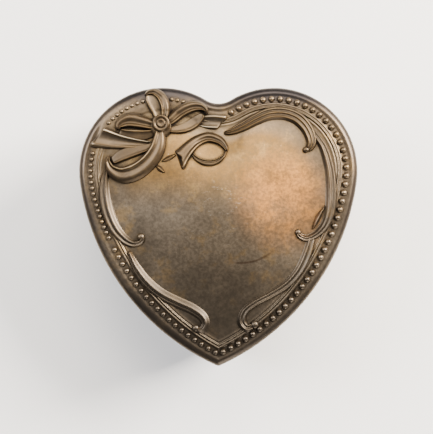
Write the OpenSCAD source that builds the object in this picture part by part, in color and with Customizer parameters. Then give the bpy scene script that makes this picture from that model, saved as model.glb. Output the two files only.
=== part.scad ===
// Wind-up music box in a heart-shaped cast metal case with a hinged, domed lid.
// +Z is up, the heart's tip points to -Y and the hinges are at the back, +Y.
// The origin is the centre of the footprint, on the surface the box stands on.

/* [Heart outline] */
// Radius of the two lobes
lobe_r = 30; // [27:0.5:36]
// Distance of each lobe's centre from the middle
lobe_x = 20; // [17:0.5:23]
// Radius of the long flank from lobe to tip
flank_r = 85; // [78:1:110]
// Angle below the horizontal at which the lobe runs into the flank
flank_turn = 8; // [4:1:14]
// Radius of the rounded cleft between the lobes
cleft_r = 8.5; // [6:0.5:12]
// Radius of the rounded tip
tip_r = 2; // [1.2:0.1:3]

/* [Case] */
// Height of the base, up to the seam with the lid
base_h = 40; // [38:1:52]
// Thickness of the base's wall at the seam
base_wall = 1.6; // [1.2:0.1:2]
// How far the widest part of the lid overhangs the walls at the seam
overhang = 3; // [2.6:0.1:3.6]
// Height of the foot moulding round the bottom of the base
foot_h = 3.6; // [3:0.1:5]
// Depth of the space under the base, in which the winding key turns
key_space = 9.2; // [9:0.2:14]
// Height of the lid, from the seam to the top of its dome
lid_h = 16.5; // [14:0.5:22]
// Thickness of the lid's metal
lid_wall = 1.4; // [1:0.1:1.8]
// Height of the lid's upright wall
lid_skirt = 3.5; // [3:0.1:4.5]
// Width of the lid's border, from its widest line to the start of the dome
border_w = 12; // [10:0.5:14]

/* [Hinges] */
// Outside radius of the hinge knuckles
knuckle_r = 1.3; // [1.1:0.05:1.4]
// Radius of the hinge pins
hinge_pin_r = 0.6; // [0.5:0.05:0.7]
// Length of one hinge
hinge_len = 13; // [10:0.5:15]

/* [Tray and linings] */
// Thickness of the tray's floor and walls
tray_wall = 0.9; // [0.7:0.1:1.2]
// Height by which the tray's rim stands above the seam
tray_lip = 2; // [1.5:0.1:2.4]
// Thickness of the velvet pad on the tray's floor
floor_pad_h = 1.8; // [1:0.1:3]
// Thickness of the velvet on the tray's walls
lining_t = 0.7; // [0.5:0.1:1]
// Thickness of the padded lining in the lid
lid_pad_h = 3; // [2:0.1:3.5]

/* [Movement] */
// Position of the movement's middle, left to right
move_x = 2; // [0:0.5:4]
// Position of the movement's middle, front to back
move_y = 10; // [8:0.5:12]
// Thickness of the bedplate
bed_t = 2.2; // [1.8:0.1:2.8]
// Height of the music cylinder's axis above the bedplate
axis_h = 8.3; // [8.1:0.1:9]
// Radius of the music cylinder
cylinder_r = 6.5; // [6.2:0.1:6.7]
// Length of the music cylinder
cylinder_len = 21; // [20:0.5:22]
// How far the pins stand out of the cylinder
pin_out = 0.85; // [0.6:0.05:0.9]
// Number of notes, each one tooth of the comb
notes = 18; // [12:1:20]
// Radius of the winding arbor
arbor_r = 2; // [1.8:0.1:2.2]
// Outside radius of the spring barrel
barrel_r = 10.3; // [9.5:0.1:10.5]
// Teeth of the great wheel, which are cut like a crown
great_teeth = 40; // [36:1:44]
// Leaves of the cylinder's pinion
pinion_leaves = 9; // [8:1:10]
// Teeth of the wheel on the cylinder
cylinder_teeth = 48; // [44:1:50]
// Leaves of the governor's pinion
governor_leaves = 10; // [9:1:12]
// Teeth of the governor's worm wheel
worm_teeth = 20; // [18:1:22]
// Distance over which the stop rod rises when the lid opens
stop_travel = 2; // [1.5:0.1:2.2]

/* [Winding key] */
// Width of the key across its wings
key_w = 17; // [14:0.5:20]
// Thickness of the wings
key_t = 1.5; // [1.2:0.1:2]

/* [Hidden] */
$fn = 48;
eps = 0.01;
run = 0.05;       // radial clearance of a running fit
gap = 0.3;        // clearance round pieces that drop in

// ---- outline -------------------------------------------------------------------------------
flank_off = [-(flank_r - lobe_r) * cos(flank_turn), (flank_r - lobe_r) * sin(flank_turn)];
flank_cx = lobe_x + flank_off[0];
tip_drop = sqrt(pow(flank_r - tip_r, 2) - pow(flank_cx, 2)) + tip_r - flank_off[1];
heart_len = lobe_r + tip_drop;                 // from the lobes' tops to the tip
lobe_y = heart_len / 2 - lobe_r;
flank_cy = lobe_y + flank_off[1];
cleft_cy = lobe_y + sqrt(pow(lobe_r + cleft_r, 2) - pow(lobe_x, 2));
cleft_turn = atan2(lobe_y - cleft_cy, lobe_x);
back_y = lobe_y + lobe_r;
dome_c = [0, 8];
cleft_n = 5;
lobe_n = 24;
flank_n = 18;
tip_n = 4;

function arc(c, r, a, b, n, last = 0) = [for (i = [0:n - 1 + last]) let (t = a + (b - a) * i / n)
    [c[0] + r * cos(t), c[1] + r * sin(t)]];

// Radius and height of the rounded tip of an outline that lies d inside the full one
function tip_round(d) = max(tip_r - d, 0.3);
function tip_cy(d) = flank_cy - sqrt(pow(flank_r - d - tip_round(d), 2) - pow(flank_cx, 2));

function half_heart(d) = let (t = atan2(tip_cy(d) - flank_cy, -flank_cx)) concat(
    arc([0, cleft_cy], cleft_r + d, -90, cleft_turn, cleft_n),
    arc([lobe_x, lobe_y], lobe_r - d, cleft_turn + 180, -flank_turn, lobe_n),
    arc([flank_cx, flank_cy], flank_r - d, -flank_turn, t, flank_n),
    arc([0, tip_cy(d)], tip_round(d), t, -90, tip_n, 1));

// Points of the heart, d inside the full outline, clockwise from the cleft
function heart(d) = let (h = half_heart(d), n = len(h)) concat(h,
    [for (i = [n - 2:-1:1]) [-h[i][0], h[i][1]]]);

module heart_plate(d, z0, z1) translate([0, 0, z0]) linear_extrude(z1 - z0) polygon(heart(d));

function ring(d, z) = [for (p = heart(d)) [p[0], p[1], z]];
function scaled_ring(d, s, z) = [for (p = heart(d))
    [dome_c[0] + s * (p[0] - dome_c[0]), dome_c[1] + s * (p[1] - dome_c[1]), z]];
function flat(lists) = [for (l = lists) each l];
function strip(a, b, n) = [for (i = [0:n - 1]) let (j = (i + 1) % n)
    each [[a * n + i, a * n + j, b * n + j], [a * n + i, b * n + j, b * n + i]]];

// A wall round the heart: the rings run up the outside and down the inside
module ring_wall(rings) {
    n = len(rings[0]);
    polyhedron(flat(rings), flat([for (k = [0:len(rings) - 1]) strip(k, (k + 1) % len(rings), n)]));
}

// A bowl turned over: the outside rings run up to a peak, and the inside rings down from one
module ring_bowl(outside, inside, peak, hollow) {
    n = len(outside[0]);
    k = len(outside);
    m = len(inside);
    points = concat(flat(outside), flat(inside), [peak, hollow]);
    polyhedron(points, concat(
        flat([for (i = [0:k - 2]) strip(i, i + 1, n)]),
        [for (i = [0:n - 1]) [(k - 1) * n + i, (k - 1) * n + (i + 1) % n, (k + m) * n]],
        flat([for (i = [k:k + m - 2]) strip(i, i + 1, n)]),
        [for (i = [0:n - 1]) [k * n + (i + 1) % n, k * n + i, (k + m) * n + 1]],
        strip(k + m - 1, 0, n)));
}

// ---- case ----------------------------------------------------------------------------------
base_in = overhang + base_wall;              // inset of the base's inner face
foot_in = 1.6;                               // inset of the foot moulding's edge
bulge_in = 1.4;                              // inset of the base's fullest line
waist_in = 3.2;                              // inset of the groove above the foot
cover_t = 1;
felt_t = 0.8;
cover_z = key_space + felt_t;
bed_z = cover_z + cover_t;
tray_z = bed_z + 20;                         // underside of the tray
side_h = base_h - foot_h;

function base_outside() = concat(
    [[foot_in + 0.6, 0], [foot_in, 0.7], [foot_in, foot_h - 1.3], [waist_in, foot_h]],
    [for (i = [1:9]) let (t = i / 10)
        [waist_in + (overhang - waist_in) * t - (overhang - bulge_in) * pow(sin(180 * pow(t, 0.8)), 2) * 0.9,
         foot_h + (side_h - 4) * t]],
    [[overhang, base_h - 4], [overhang, base_h]]);

module base_shell() color("darkkhaki") ring_wall(concat(
    [for (p = base_outside()) ring(p[0], p[1])],
    [ring(base_in, base_h), ring(base_in, 0)]));

pillar_r = 3.2;
pillar_bore = 1.1;
pillar_turn = 50;
pillar_spots = [
    [0, tip_cy(base_in) + 2.2],
    [lobe_x + (lobe_r - base_in - 2.7) * cos(pillar_turn), lobe_y + (lobe_r - base_in - 2.7) * sin(pillar_turn)],
    [-lobe_x - (lobe_r - base_in - 2.7) * cos(pillar_turn), lobe_y + (lobe_r - base_in - 2.7) * sin(pillar_turn)]];
screw_bite = 7;

module pillars() color("darkkhaki") for (p = pillar_spots) difference() {
    intersection() {
        heart_plate(base_in, bed_z, tray_z);
        translate([p[0], p[1], bed_z]) cylinder(r = pillar_r, h = tray_z - bed_z);
    }
    translate([p[0], p[1], bed_z - 1]) cylinder(r = pillar_bore, h = screw_bite + 2);
}

// A pan-head screw whose head hangs below z and whose shank rises into the work
module screw_up(p, z, r, head_r, head_h, bite) translate([p[0], p[1], z]) difference() {
    union() {
        cylinder(r = r, h = bite);
        translate([0, 0, -head_h]) cylinder(r = head_r, h = head_h);
    }
    translate([-head_r, -0.25, -head_h - 1]) cube([2 * head_r, 0.5, 1.5]);
}

screw_r = 1;
screw_head_r = 2.1;
screw_head_h = 1.2;

module cover_screws() color("silver") for (p = pillar_spots)
    screw_up(p, cover_z, screw_r, screw_head_r, screw_head_h, cover_t + screw_bite);

// ---- movement's own frame: X along the music cylinder, from the barrel's axis ----------------
barrel_x = move_x - 16;
wheel_r = barrel_r + 2.6;                    // outside radius of the great wheel
crown_in = barrel_r + 0.5;
crown_out = crown_in + 2;
crown_mid = (crown_in + crown_out) / 2;
crown_pitch = 2 * PI * crown_mid / great_teeth;
pinion_r = crown_pitch * pinion_leaves / (2 * PI);
crown_add = 0.5;
bed_top = bed_z + bed_t;
axis_z = bed_top + axis_h;
crown_line = axis_z + pinion_r;              // height at which crown and pinion roll together
wheel_z = crown_line + 0.9;                  // underside of the great wheel's disc
wheel_t = 1.2;
pinion_x = barrel_x + crown_in - 0.1;
pinion_len = 2.2;
post_x = barrel_x + wheel_r + 0.5;
post_t = 1.4;
cyl_x = post_x + post_t + 0.6;
cyl_end = cyl_x + cylinder_len;
gear_x = cyl_end + 0.4;
gear_t = 1.2;
gear_m = 0.3;                                // module of the cylinder's wheel
gear_r = gear_m * cylinder_teeth / 2;
inner_x = gear_x + gear_t + 0.8;
plate_t = 1.4;
gov_r = gear_m * governor_leaves / 2;
gov_y = move_y + gear_r + gov_r;
ww_x = inner_x + plate_t + 0.6;
ww_t = 1.2;
ww_m = 0.35;
ww_r = ww_m * worm_teeth / 2;
worm_r = 1.2;
worm_x = ww_x + ww_t / 2;
worm_y = gov_y + ww_r + worm_r;
worm_lead = PI * ww_m;
outer_x = ww_x + ww_t + 0.8;
fly_r = 3.4;
cylinder_axis = [cyl_x, move_y, axis_z];
arbor_small = 1;
comb_tip = 0.15;                             // gap between pin circle and comb
comb_t = 1;
comb_z = axis_z - comb_t / 2;
comb_y = move_y - cylinder_r - pin_out - comb_tip;
comb_len = 9;
comb_back = 7;
bed_x0 = barrel_x - wheel_r - 0.3;
bed_x1 = outer_x + plate_t + 0.5;
bed_y0 = comb_y - comb_len - comb_back - 0.5;
bed_y1 = worm_y + 6.6;
bed_spots = [[bed_x0 + 3, bed_y0 + 3], [bed_x1 - 3, bed_y0 + 3], [cyl_x + 4, bed_y1 - 3]];
bed_screw_bore = 1.05;

module along_x(x, y, z) translate([x, y, z]) rotate([0, 90, 0]) children();

module bottom_cover() color("silver") difference() {
    heart_plate(base_in + gap, cover_z, bed_z);
    translate([barrel_x, move_y, cover_z - 1]) cylinder(r = arbor_r + 1, h = cover_t + 2);
    for (p = concat(pillar_spots, bed_spots))
        translate([p[0], p[1], cover_z - 1]) cylinder(r = screw_r + 0.15, h = cover_t + 2);
}

module bottom_felt() color("darkgreen") difference() {
    heart_plate(base_in + 0.8, key_space, cover_z);
    translate([barrel_x, move_y, key_space - 1]) cylinder(r = arbor_r + 3, h = felt_t + 2);
    for (p = concat(pillar_spots, bed_spots))
        translate([p[0], p[1], key_space - 1]) cylinder(r = screw_head_r + 0.5, h = felt_t + 2);
}

// ---- tray ----------------------------------------------------------------------------------
rod_x = worm_x - fly_r - 2.3;
rod_y = worm_y;
rod_r = 0.8;
tray_out = base_in + 0.4;
tray_in = tray_out + tray_wall;
velvet_in = tray_in + lining_t;
tray_floor = tray_z + tray_wall;
tray_top = base_h + tray_lip;

module rod_hole(z, h) translate([rod_x, rod_y, z]) cylinder(r = rod_r + 0.4, h = h);

module tray() color("maroon") difference() {
    heart_plate(tray_out, tray_z, tray_top);
    heart_plate(tray_in, tray_floor, tray_top + 1);
    rod_hole(tray_z - 1, tray_wall + 2);
}

module tray_floor_velvet() color("firebrick") difference() {
    heart_plate(velvet_in + 0.2, tray_floor, tray_floor + floor_pad_h);
    rod_hole(tray_floor - 1, floor_pad_h + 2);
}

module tray_wall_velvet() color("firebrick") difference() {
    heart_plate(tray_in, tray_floor, tray_top);
    heart_plate(velvet_in, tray_floor - 1, tray_top + 1);
}

// ---- lid -----------------------------------------------------------------------------------
shoulder_z = lid_skirt + 2.9;                // height of the lid's widest line above the seam
shoulder_w = 2.4;
border_z = shoulder_z + 2.6;
border_rise = 3.2;
dome_rise = lid_h - border_z - border_rise;
inner_in = overhang + lid_wall;
board_t = 1;
pad_z = base_h + tray_lip + 1;               // underside of the lid's padding
board_z = pad_z + lid_pad_h;

function shoulder(n = 6) = concat(
    [for (i = [1:n]) let (a = 90 - 90 * i / n) [overhang * (1 - cos(a)), shoulder_z - (shoulder_z - lid_skirt) * sin(a)]],
    [for (i = [1:n]) let (a = 90 * i / n) [shoulder_w * (1 - cos(a)), shoulder_z + (border_z - shoulder_z) * sin(a)]]);
function border(n = 6) = [for (i = [1:n]) let (t = i / n)
    [shoulder_w + (border_w - shoulder_w) * t, border_z + border_rise * pow(t, 1.3)]];
function dome_rings(d, z, rise, n = 7) = [for (i = [1:n]) let (s = 1 - i / (n + 1))
    scaled_ring(d, s, z + rise * (1 - s * s))];

module lid_shell() color("darkkhaki") {
    outside = concat(
        [ring(overhang, base_h), ring(overhang, base_h + lid_skirt)],
        [for (p = concat(shoulder(), border())) ring(p[0], base_h + p[1])],
        dome_rings(border_w, base_h + border_z + border_rise, dome_rise));
    top_in = base_h + border_z + border_rise - lid_wall;
    inside = concat(
        [for (r = [6:-1:0]) dome_rings(border_w, top_in, dome_rise)[r]],
        [for (i = [len(border()) - 1:-1:2]) ring(border()[i][0], base_h + border()[i][1] - lid_wall)],
        [ring(inner_in, board_z + board_t + 0.2), ring(inner_in, base_h)]);
    ring_bowl(outside, inside, [dome_c[0], dome_c[1], base_h + lid_h],
        [dome_c[0], dome_c[1], base_h + lid_h - lid_wall]);
}

module lid_board() color("tan") heart_plate(inner_in + 0.05, board_z, board_z + board_t);
module lid_pad() color("firebrick") heart_plate(inner_in + 0.9, pad_z, board_z);

// ---- hinges --------------------------------------------------------------------------------
hinge_off = 0.3;                             // gap between the knuckles and the case's wall
hinge_y = back_y - overhang + hinge_off + knuckle_r;
leaf_h = 3;
leaf_t = 0.7;
knuckle_gap = 0.15;
mid_knuckle = hinge_len * 0.4;

module knuckle(side, x0, x1) along_x(side * lobe_x + x0, hinge_y, base_h) difference() {
    cylinder(r = knuckle_r, h = x1 - x0);
    translate([0, 0, -1]) cylinder(r = hinge_pin_r + run, h = x1 - x0 + 2);
}

// A leaf lies on the case's wall, so its inner face follows the heart
module leaf(side, z0, z1, x0, x1) difference() {
    translate([side * lobe_x + x0, hinge_y - 3, z0]) cube([x1 - x0, 3 - 0.2, z1 - z0]);
    heart_plate(overhang, z0 - 1, z1 + 1);
    along_x(side * lobe_x - hinge_len, hinge_y, base_h) cylinder(r = hinge_pin_r + run, h = 2 * hinge_len);
    translate([side * lobe_x + x0 - 1, hinge_y - knuckle_r - hinge_off + leaf_t, z0 - 1])
        cube([x1 - x0 + 2, 3, z1 - z0 + 2]);
}

module hinge_base_leaf(side) color("goldenrod") union() {
    leaf(side, base_h - leaf_h, base_h - knuckle_r * 0.75, -hinge_len / 2, hinge_len / 2);
    for (s = [-1, 1]) {
        x = s < 0 ? -hinge_len / 2 : mid_knuckle / 2 + knuckle_gap;
        knuckle(side, x, x + (hinge_len - mid_knuckle) / 2 - knuckle_gap);
        leaf(side, base_h - leaf_h, base_h - 0.1, x, x + (hinge_len - mid_knuckle) / 2 - knuckle_gap);
    }
}

module hinge_lid_leaf(side) color("goldenrod") union() {
    leaf(side, base_h + knuckle_r * 0.75, base_h + leaf_h, -hinge_len / 2, hinge_len / 2);
    knuckle(side, -mid_knuckle / 2, mid_knuckle / 2);
    leaf(side, base_h + 0.1, base_h + leaf_h, -mid_knuckle / 2, mid_knuckle / 2);
}

module hinge_pin(side) color("gold") along_x(side * lobe_x - hinge_len / 2 - 0.3, hinge_y, base_h)
    cylinder(r = hinge_pin_r, h = hinge_len + 0.6);

// ---- spring and winding --------------------------------------------------------------------
barrel_wall = 0.8;
barrel_top = crown_line - crown_add - 0.5 - 0.8;
cap_t = 0.8;
arbor_top = wheel_z + wheel_t + 1.6;
flange_r = barrel_r;

module at_barrel(z) translate([barrel_x, move_y, z]) children();

module bedplate() color("silver") difference() {
    union() {
        translate([bed_x0, bed_y0, bed_z]) cube([bed_x1 - bed_x0, bed_y1 - bed_y0, bed_t]);
        translate([cyl_x - 0.4, bed_y0 + 0.3, bed_top - eps])
            cube([cylinder_len + 0.8, comb_back - 1.6, comb_z - bed_top + eps]);
    }
    at_barrel(bed_z - 1) cylinder(r = arbor_r + run, h = bed_t + 2);
    for (p = bed_spots) translate([p[0], p[1], bed_z - 1]) cylinder(r = bed_screw_bore, h = bed_t + 2);
    for (x = comb_screw_x) translate([x, comb_screw_y, comb_z - 4]) cylinder(r = 0.85, h = 5);
    translate([worm_x, worm_y, bed_z + 0.6]) cylinder(r = 0.5 + run, h = bed_t + 1);
}

module movement_screws() color("silver") for (p = bed_spots)
    screw_up(p, cover_z, screw_r, screw_head_r, screw_head_h, cover_t + bed_t - 0.3);

module spring_barrel() color("silver") at_barrel(bed_top) difference() {
    cylinder(r = barrel_r, h = barrel_top - bed_top);
    translate([0, 0, barrel_wall]) cylinder(r = barrel_r - barrel_wall, h = barrel_top - bed_top);
    translate([0, 0, -1]) cylinder(r = arbor_r + run, h = 4);
}

barrel_screw_r = 0.6;
barrel_screw_at = barrel_r - 3.1;

module barrel_cap() color("silver") at_barrel(barrel_top) difference() {
    cylinder(r = barrel_r, h = cap_t);
    translate([0, 0, -1]) cylinder(r = arbor_r + run, h = cap_t + 2);
    for (a = [60:120:300]) rotate(a) translate([barrel_screw_at, 0, -1])
        cylinder(r = barrel_screw_r + 0.1, h = cap_t + 2);
}

module barrel_screws() color("silver") for (a = [60:120:300]) at_barrel(barrel_top + cap_t) rotate(a)
    translate([barrel_screw_at, 0, -cap_t - 0.6]) {
        cylinder(r = barrel_screw_r, h = cap_t + 0.8);
        translate([0, 0, cap_t + 0.6]) cylinder(r = 1.1, h = 0.45);
    }

spring_turns = 7;
spring_t = 0.3;
spring_r0 = arbor_r + 1.1;
spring_r1 = barrel_r - barrel_wall - 0.5;

function spiral(r0, r1, turns, n) = [for (i = [0:n]) let (t = i / n)
    [(r0 + (r1 - r0) * t) * cos(360 * turns * t), (r0 + (r1 - r0) * t) * sin(360 * turns * t)]];

module mainspring() color("steelblue") at_barrel(bed_top + barrel_wall + 0.3)
    linear_extrude(barrel_top - bed_top - barrel_wall - 1.4) polygon(concat(
        spiral(spring_r0, spring_r1, spring_turns, 24 * spring_turns),
        [for (i = [24 * spring_turns:-1:0])
            spiral(spring_r0 + spring_t, spring_r1 + spring_t, spring_turns, 24 * spring_turns)[i]]));

key_z = 1.4;
key_hub_r = arbor_r + 1;
key_hub_top = key_space - 0.4;
key_wing_h = 6.4;

module winding_arbor() color("gainsboro") at_barrel(key_z + 2) union() {
    cylinder(r = arbor_r, h = arbor_top - key_z - 2);
    translate([0, 0, bed_top + barrel_wall + 0.1 - key_z - 2]) cylinder(r = arbor_r + 0.6, h = 3);
}

module winding_key() color("gold") at_barrel(key_z) difference() {
    union() {
        translate([0, 0, 0.8]) cylinder(r = key_hub_r, h = key_hub_top - key_z - 0.8);
        translate([0, key_t / 2, 0]) rotate([90, 0, 0]) linear_extrude(key_t) difference() {
            union() {
                for (s = [-1, 1]) translate([s * (key_w - key_wing_h) / 2, key_wing_h / 2]) circle(key_wing_h / 2);
                translate([-key_w / 4, 0.9]) square([key_w / 2, key_wing_h - 1.8]);
            }
            for (s = [-1, 1]) translate([s * (key_w - key_wing_h) / 2, key_wing_h / 2]) circle(1.3);
        }
    }
    translate([0, 0, 2 - 0.05]) cylinder(r = arbor_r + 0.02, h = key_hub_top);
}

// ---- wheels and pinions --------------------------------------------------------------------
// Outline of a wheel whose teeth taper from root to tip, with a tooth on the +X axis
function teeth(n, r, add, ded, w_root, w_pitch, w_tip) = [for (i = [0:n - 1]) let (a = 360 * i / n)
    each [for (q = [[r - ded, -w_root], [r, -w_pitch], [r + add, -w_tip], [r + add, w_tip], [r, w_pitch], [r - ded, w_root]])
        let (t = a + q[1] / 2 / q[0] * 180 / PI) [q[0] * cos(t), q[0] * sin(t)]]];

module wheel(n, r, pitch, add, ded, w, h, bore) linear_extrude(h) difference() {
    polygon(teeth(n, r, add, ded, w * pitch * 1.25, w * pitch, w * pitch * 0.5));
    circle(bore);
}

module great_wheel() color("gold") at_barrel(wheel_z) union() {
    difference() {
        cylinder(r = wheel_r, h = wheel_t);
        translate([0, 0, -1]) cylinder(r = arbor_r + run, h = wheel_t + 2);
        for (a = [0:60:300]) rotate(a) translate([6.6, 0, -1]) cylinder(r = 2, h = wheel_t + 2);
    }
    w = 0.4 * crown_pitch;
    for (i = [0:great_teeth - 1]) rotate(360 * (i + 0.5) / great_teeth)
        translate([crown_in, 0, 0]) rotate([90, 0, 90]) linear_extrude(crown_out - crown_in)
            polygon([[-w * 0.6, 0.2], [-w * 0.6, 0], [-w * 0.28, crown_line - crown_add - wheel_z],
                [w * 0.28, crown_line - crown_add - wheel_z], [w * 0.6, 0], [w * 0.6, 0.2]]);
}

clutch_wire = 0.45;
module clutch_spring() color("steelblue") at_barrel(wheel_z + wheel_t + clutch_wire)
    for (k = [0, 1]) translate([0, 0, k * 2 * clutch_wire * 0.98])
        rotate_extrude() translate([arbor_r + clutch_wire + 0.05, 0]) circle(clutch_wire, $fn = 24);

module cylinder_post() color("silver") difference() {
    union() {
        translate([post_x, move_y - 3, bed_top]) cube([post_t, 6, axis_h]);
        along_x(post_x, move_y, axis_z) cylinder(r = 3, h = post_t);
    }
    along_x(post_x - 1, move_y, axis_z) cylinder(r = arbor_small + run, h = post_t + 2);
}

module cylinder_tube() color("gold") along_x(cyl_x, move_y, axis_z) difference() {
    cylinder(r = cylinder_r, h = cylinder_len);
    translate([0, 0, -1]) cylinder(r = cylinder_r - 0.8, h = cylinder_len + 2);
}

module cylinder_heads() color("gold") for (x = [cyl_x, cyl_end - 1]) along_x(x, move_y, axis_z) difference() {
    cylinder(r = cylinder_r - 0.8, h = 1);
    translate([0, 0, -1]) cylinder(r = arbor_small, h = 3);
}

// Each note's track has pins at the steps of a simple repeating tune
pins_per_note = 4;
note_step = (cylinder_len - 2) / (notes - 1);
module cylinder_pins() color("silver") for (i = [0:notes - 1], k = [0:pins_per_note - 1])
    along_x(cyl_x + 1 + i * note_step, move_y, axis_z)
        rotate([0, 0, 360 * k / pins_per_note + (i * 137) % 88])
            translate([cylinder_r - 0.4, 0, 0]) rotate([0, 90, 0])
                cylinder(r = 0.2, h = pin_out + 0.4, $fn = 16);

module cylinder_arbor() color("gainsboro") along_x(pinion_x, move_y, axis_z)
    cylinder(r = arbor_small, h = inner_x + plate_t - pinion_x);

module cylinder_pinion() color("silver") along_x(pinion_x, move_y, axis_z)
    rotate(180) wheel(pinion_leaves, pinion_r, crown_pitch, 0.5, 0.85, 0.32, pinion_len, arbor_small);

gear_pitch = PI * gear_m;
module cylinder_wheel() color("gold") along_x(gear_x, move_y, axis_z)
    rotate(90) wheel(cylinder_teeth, gear_r, gear_pitch, 0.28, 0.4, 0.4, gear_t, arbor_small);

// ---- governor ------------------------------------------------------------------------------
module plate(x, y1) difference() {
    union() {
        translate([x, move_y - 2.5, bed_top]) cube([plate_t, y1 - move_y + 2.5, axis_h]);
        translate([x, move_y - 2.5, bed_top]) cube([plate_t, y1 - move_y + 2.5, axis_h + 2]);
    }
    along_x(x - 1, gov_y, axis_z) cylinder(r = 0.7 + run, h = plate_t + 2);
    if (x < ww_x) along_x(x - 1, move_y, axis_z) cylinder(r = arbor_small + run, h = plate_t + 2);
}

module inner_plate() color("silver") plate(inner_x, gov_y + 2.2);
module outer_plate() color("silver") plate(outer_x, gov_y + 2.2);

module governor_arbor() color("gainsboro") along_x(gear_x - 0.2, gov_y, axis_z)
    cylinder(r = 0.7, h = outer_x + plate_t - gear_x);

module governor_pinion() color("silver") along_x(gear_x - 0.2, gov_y, axis_z)
    rotate(90 + 180 / governor_leaves) wheel(governor_leaves, gov_r, gear_pitch, 0.28, 0.42, 0.36, gear_t + 0.4, 0.7);

module worm_wheel() color("gold") along_x(ww_x, gov_y, axis_z)
    rotate(90) wheel(worm_teeth, ww_r, worm_lead, 0.32, 0.42, 0.38, ww_t, 0.7);

cock_z = axis_z + 7;
module governor_cock() color("silver") difference() {
    union() {
        translate([worm_x - 1.2, worm_y + 4.4, bed_top]) cube([2.4, 1.8, cock_z + 1.2 - bed_top]);
        translate([worm_x - 1.2, worm_y - 1.2, cock_z]) cube([2.4, 7, 1.2]);
    }
    translate([worm_x, worm_y, cock_z - 1]) cylinder(r = 0.5 + run, h = 4);
}

worm_turns = 5;
worm_run = 0.9;                              // plain length beyond each end of the thread
worm_sides = 24;
worm_levels = 60;
thread_core = 0.85;
thread_out = 1.5;
thread_crest = 0.1;
thread_root = 0.24;
worm_len = worm_turns * worm_lead + 2 * worm_run;
// Height of the thread above the core, from 0 to 1, at angle a and height z. It is right-handed,
// and a gap faces the worm wheel's tooth at a = -90, z = 0.
function thread_at(a, z) = let (u = z / worm_lead - a / 360 - 0.25, d = abs(u - floor(u) - 0.5) * worm_lead,
    fade = min(1, max(0, (worm_len / 2 - abs(z)) / worm_run - 0.3)))
    fade * min(1, max(0, (thread_root - d) / (thread_root - thread_crest)));

module worm_body() {
    n = worm_sides;
    points = [for (k = [0:worm_levels], i = [0:n - 1])
        let (a = 360 * i / n, z = worm_len * (k / worm_levels - 0.5),
            r = thread_core + (thread_out - thread_core) * thread_at(a, z)) [r * cos(a), r * sin(a), z]];
    polyhedron(points, concat([[for (i = [0:n - 1]) i]],
        flat([for (k = [0:worm_levels - 1]) strip(k + 1, k, n)]),
        [[for (i = [n - 1:-1:0]) worm_levels * n + i]]));
}

worm_foot = bed_z + 0.7;
module worm() color("gainsboro") translate([worm_x, worm_y, 0]) union() {
    translate([0, 0, axis_z]) worm_body();
    translate([0, 0, worm_foot]) cylinder(r = 0.5, h = axis_z - worm_len / 2 + 0.05 - worm_foot);
    translate([0, 0, axis_z + worm_len / 2 - 0.05]) cylinder(r = 0.5, h = cock_z + 1 - axis_z - worm_len / 2 + 0.05);
}

fly_z = axis_z + 4;
module fly() color("white") translate([worm_x, worm_y, fly_z]) difference() {
    union() {
        cylinder(r = 1.1, h = 2.6);
        translate([0, 0, 2]) cylinder(r = fly_r, h = 0.6);
        for (a = [0, 90]) rotate(a) translate([-fly_r, -0.2, 0]) cube([2 * fly_r, 0.4, 2.2]);
    }
    translate([0, 0, -1]) cylinder(r = 0.5, h = 5);
}

// ---- comb ----------------------------------------------------------------------------------
comb_screw_x = [cyl_x + 4, cyl_end - 4];
comb_screw_y = comb_y - comb_len - comb_back + 2.6;
comb_w = cylinder_len;
tooth_slot = 0.35;
comb_slope = 3;                              // how much longer the lowest note's tooth is

module comb() color("gainsboro") translate([0, 0, comb_z]) difference() {
    linear_extrude(comb_t) difference() {
        translate([cyl_x, comb_y - comb_len - comb_back]) square([comb_w, comb_len + comb_back]);
        for (i = [0:notes]) translate([cyl_x + 1 + (i - 0.5) * note_step - tooth_slot / 2, 0])
            polygon([[0, comb_y + 1], [tooth_slot, comb_y + 1],
                [tooth_slot, comb_y - comb_len - comb_slope * (0.5 - i / notes)],
                [0, comb_y - comb_len - comb_slope * (0.5 - i / notes)]]);
    }
    for (x = comb_screw_x) translate([x, comb_screw_y, -1]) cylinder(r = 0.95, h = 3);
}

module comb_screws() color("silver") for (x = comb_screw_x) translate([x, comb_screw_y, comb_z - 3.5]) difference() {
    union() {
        cylinder(r = 0.8, h = 3.7 + comb_t);
        translate([0, 0, 3.5 + comb_t]) cylinder(r = 1.8, h = 1);
    }
    translate([-2, -0.2, 3.5 + comb_t + 0.5]) cube([4, 0.4, 1]);
}

module comb_weights() color("dimgray") for (i = [0:5])
    translate([cyl_x + 1 + i * note_step - 0.3, comb_y - 4.5, comb_z - 1.8 + 0.15 * i])
        cube([0.6, 2.6, 1.8 - 0.15 * i]);

// ---- stop work: the closed lid holds the rod down, and its finger brakes the fly --------------
rod_top = pad_z - 0.1;
guide_top = bed_top + 9;
finger_z = fly_z + 2.6 + 0.1;
finger_t = 0.7;
spring_wire = 0.28;

module rod_guide() color("silver") translate([rod_x, rod_y, bed_top]) difference() {
    cylinder(r = 1.8, h = guide_top - bed_top);
    translate([0, 0, -1]) cylinder(r = rod_r + run, h = guide_top - bed_top + 2);
}

module stop_rod() color("gold") translate([rod_x, rod_y, bed_top + 0.2]) union() {
    cylinder(r = rod_r, h = rod_top - bed_top - 0.2 - rod_r);
    translate([0, 0, rod_top - bed_top - 0.2 - rod_r]) intersection() {
        sphere(r = rod_r);
        cylinder(r = rod_r + 1, h = rod_r);
    }
}

module brake_finger() color("silver") difference() {
    union() {
        translate([rod_x, rod_y, finger_z]) cylinder(r = 1.8, h = finger_t);
        translate([rod_x, rod_y - 0.6, finger_z]) cube([worm_x - rod_x - 1.5, 1.2, finger_t]);
    }
    translate([rod_x, rod_y, finger_z - 1]) cylinder(r = rod_r, h = finger_t + 2);
}

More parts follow.
